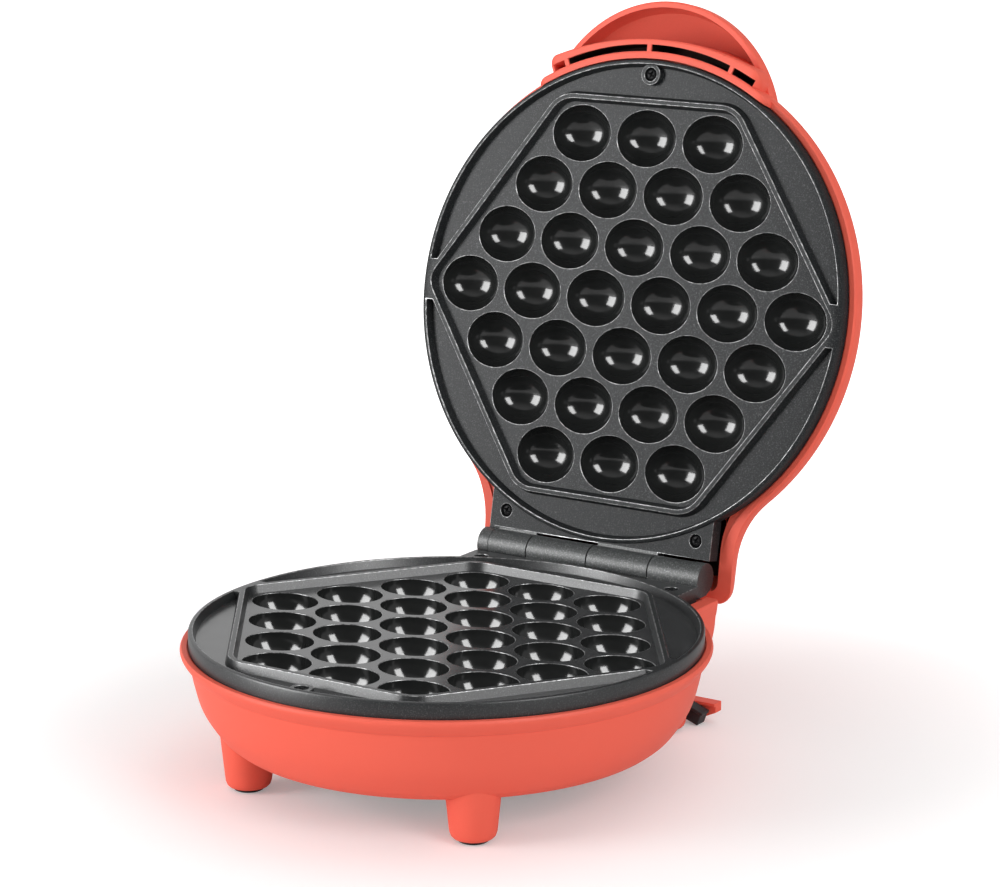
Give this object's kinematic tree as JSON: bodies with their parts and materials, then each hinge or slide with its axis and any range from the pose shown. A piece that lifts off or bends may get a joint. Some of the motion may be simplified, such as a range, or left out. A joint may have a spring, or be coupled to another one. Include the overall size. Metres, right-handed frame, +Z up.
{
  "type": "bubble waffle maker",
  "caption": "Round electric waffle maker with two cast plates of egg-shaped cups, a hinged domed lid with a half-moon finger grip, and a bowl-shaped base on short legs.",
  "frame": {"origin": "centre of the bounding box on the floor, under the feet", "axes": "+X along the hinge axis, +Y from the plates towards the hinge, +Z up; the lid rests open as pictured"},
  "size_m": [0.2066, 0.285, 0.2865],
  "materials": {
    "shell_coral": "satin moulded coral plastic",
    "plate_coating": "cast aluminium with a fine-grained dark non-stick coat",
    "pad_rubber": "matte black rubber",
    "pin_steel": "bright drawn steel",
    "screw_black": "blackened steel",
    "element_sheath": "heat-darkened steel sheath",
    "reflector_sheet": "pressed bright sheet",
    "cover_black": "matte black plastic",
    "block_ceramic": "unglazed white ceramic",
    "gland_black": "matte black plastic",
    "lens_red": "clear red plastic",
    "lens_green": "clear green plastic"
  },
  "bodies": {
    "base": {"base_housing": "shell_coral", "bottom_cover": "cover_black", "cord_bracket": "shell_coral", "cord_gland": "gland_black", "cover_screw_1": "screw_black", "cover_screw_2": "screw_black", "cover_screw_3": "screw_black", "cover_screw_4": "screw_black", "foot_pad_front_left": "pad_rubber", "foot_pad_front_right": "pad_rubber", "foot_pad_rear_left": "pad_rubber", "foot_pad_rear_right": "pad_rubber", "hinge_pin": "pin_steel", "lower_heating_tube": "element_sheath", "lower_plate": "plate_coating", "lower_plate_screw_front": "screw_black", "lower_plate_screw_left": "screw_black", "lower_plate_screw_right": "screw_black", "lower_reflector": "reflector_sheet", "lower_thermostat": "reflector_sheet", "terminal_block": "block_ceramic", "thermal_fuse": "block_ceramic"},
    "lid": {"lid_housing": "shell_coral", "lamp_board": "cover_black", "power_lens": "lens_red", "ready_lens": "lens_green", "upper_heating_tube": "element_sheath", "upper_plate": "plate_coating", "upper_plate_screw_front": "screw_black", "upper_plate_screw_left": "screw_black", "upper_plate_screw_right": "screw_black", "upper_reflector": "reflector_sheet", "upper_thermostat": "reflector_sheet"}
  },
  "joints": [
    {"name": "lid_hinge", "type": "hinge", "parent": "base", "child": "lid", "pos_m": [0, 0.0688, 0.0605], "axis": [1, 0, 0], "range_deg": [0, 101.7]}
  ]
}
